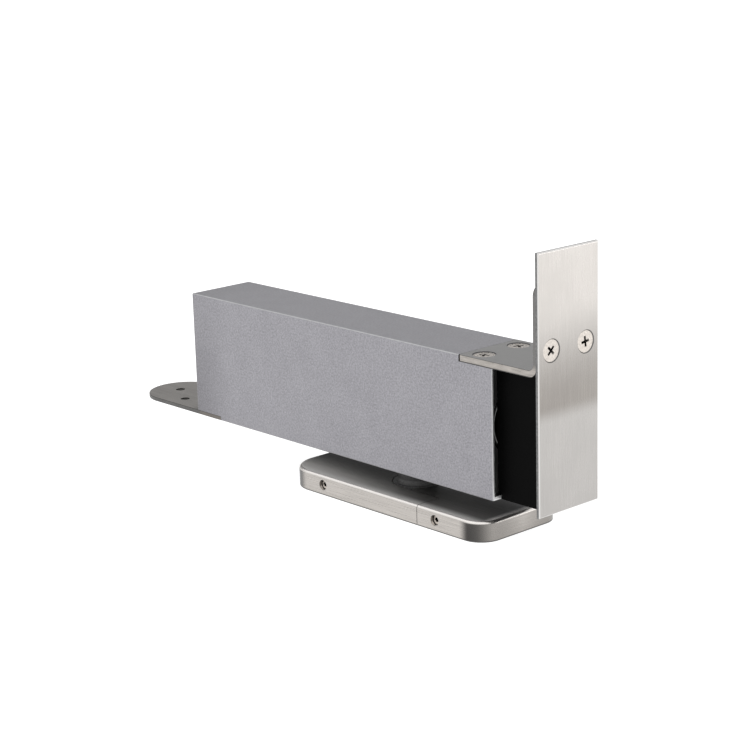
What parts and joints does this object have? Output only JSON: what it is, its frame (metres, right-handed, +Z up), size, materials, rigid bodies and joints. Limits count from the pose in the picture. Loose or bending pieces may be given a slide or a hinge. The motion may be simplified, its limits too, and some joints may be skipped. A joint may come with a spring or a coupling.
{
  "type": "hydraulic door pivot",
  "caption": "Self-closing hydraulic floor pivot for a swing door: rectangular housing on a spindle over a low floor plate, with an end plate and a rear tab.",
  "frame": {"origin": "on the spindle axis at floor level, the centre of the floor plate's bolt pattern", "axes": "+X along the housing to the end plate, +Z up along the spindle axis"},
  "size_m": [0.278, 0.0494, 0.126],
  "materials": {
    "body_alloy": "fine blasted, clear anodised",
    "plate_steel": "satin",
    "bracket_steel": "satin, bright sheared edges",
    "tab_steel": "dull, as rolled",
    "cover_steel": "polished",
    "screw_steel": "bright zinc",
    "black_block": "moulded",
    "black_steel": "blackened",
    "machined_steel": "turned and milled",
    "spring_steel": "oil tempered",
    "bearing_bronze": "turned",
    "seal_rubber": "moulded"
  },
  "bodies": {
    "floor": {"floor_base_plate": "machined_steel", "long_floor_cover": "cover_steel", "short_floor_cover": "cover_steel", "cover_screws": "screw_steel", "spindle": "black_steel", "spindle_bolt": "screw_steel"},
    "housing": {"housing": "body_alloy", "lower_bearing": "bearing_bronze", "upper_bearing": "bearing_bronze", "thrust_washer": "bearing_bronze", "spindle_seal": "seal_rubber", "seal_circlip": "spring_steel", "front_end_plug": "black_steel", "rear_end_plug": "black_steel", "plug_o_rings": "seal_rubber", "spring_stop": "machined_steel", "stop_circlips": "spring_steel", "front_spring": "spring_steel", "rear_spring": "spring_steel", "valve_o_rings": "seal_rubber", "passage_plugs": "machined_steel", "top_bracket": "bracket_steel", "bracket_screws": "screw_steel", "spacer_block": "black_block", "spacer_screws": "screw_steel", "end_plate": "plate_steel", "end_plate_screws": "screw_steel", "rear_tab": "tab_steel", "rear_tab_screws": "screw_steel"},
    "piston": {"rack_piston": "machined_steel", "piston_seal": "seal_rubber", "spring_rod": "machined_steel", "tail_spring_seat": "machined_steel", "rod_nut": "machined_steel"},
    "closing_valve": {"closing_valve": "machined_steel"},
    "latching_valve": {"latching_valve": "machined_steel"}
  },
  "joints": [
    {"name": "door_swing", "type": "hinge", "parent": "floor", "child": "housing", "pos_m": [0, 0, 0], "axis": [0, 0, 1], "range_deg": [-110, 110], "stiffness_Nm_per_rad": 4.5},
    {"name": "rack_travel", "type": "slide", "parent": "housing", "child": "piston", "axis": [1, 0, 0], "range_m": [-0.0145, 0.0145], "deforming": ["front_spring", "rear_spring"]},
    {"name": "closing_valve_turn", "type": "hinge", "parent": "housing", "child": "closing_valve", "pos_m": [0.055, 0.0088, 0.0252], "axis": [1, 0, 0], "range_deg": [0, 720]},
    {"name": "latching_valve_turn", "type": "hinge", "parent": "housing", "child": "latching_valve", "pos_m": [0.055, -0.0088, 0.0252], "axis": [1, 0, 0], "range_deg": [0, 720]}
  ],
  "couplings": [
    {"joint": "rack_travel", "follows": "door_swing", "m_per_rad": 0.0075}
  ]
}
